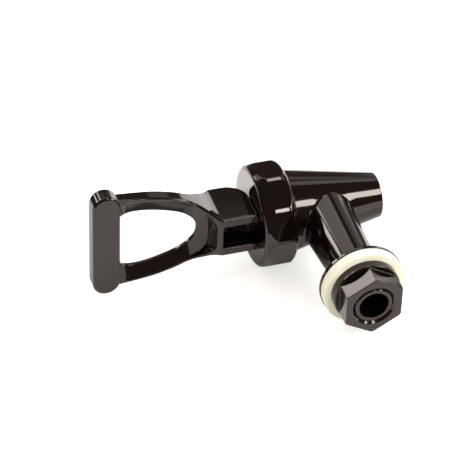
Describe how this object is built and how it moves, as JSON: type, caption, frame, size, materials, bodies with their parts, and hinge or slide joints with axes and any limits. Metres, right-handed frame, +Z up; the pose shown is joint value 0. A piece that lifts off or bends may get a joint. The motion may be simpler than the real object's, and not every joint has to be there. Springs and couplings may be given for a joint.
{
  "type": "faucet",
  "caption": "Drinks-dispenser faucet: tapered outlet barrel, side shank with seal and hex nut, ten-sided bonnet, D-grip handle that tips forward on a cam to lift the seat cup.",
  "frame": {"origin": "centre of the seal's outer face, where the wall's front face lies, on the shank's axis", "axes": "+Y along the shank, back through the wall; +Z up along the barrel to the handle, outlet down; X along the handle's pin"},
  "size_m": [0.058, 0.1044, 0.1433],
  "materials": {
    "gloss_moulding": "polished brown-black moulded plastic",
    "bonnet_moulding": "polished brown-black moulded plastic",
    "handle_moulding": "polished brown-black moulded plastic",
    "stainless": "turned stainless steel",
    "spring_wire": "drawn spring wire",
    "silicone": "translucent milky silicone",
    "pale_seal": "soft cream silicone",
    "satin_moulding": "satin dark plastic"
  },
  "bodies": {
    "base": {"body": "gloss_moulding", "bonnet": "bonnet_moulding", "seat_cup": "silicone", "spring": "spring_wire", "seal_washer": "pale_seal", "shank_nut": "satin_moulding"},
    "plunger": {"stem": "stainless", "stem_c_ring": "stainless", "spring_washer": "stainless", "handle_pin": "stainless"},
    "lever": {"handle": "handle_moulding"}
  },
  "joints": [
    {"name": "stem_lift", "type": "slide", "parent": "base", "child": "plunger", "axis": [0, 0, 1], "range_m": [0, 0.0041], "deforming": ["spring", "seat_cup"]},
    {"name": "handle_tilt", "type": "hinge", "parent": "plunger", "child": "lever", "pos_m": [0, -0.0648, 0.04385], "axis": [1, 0, 0], "range_deg": [0, 90], "stiffness_Nm_per_rad": 0.019, "springref_deg": -135.79}
  ],
  "couplings": [
    {"joint": "stem_lift", "follows": "handle_tilt", "m_per_rad": 0.00261}
  ]
}
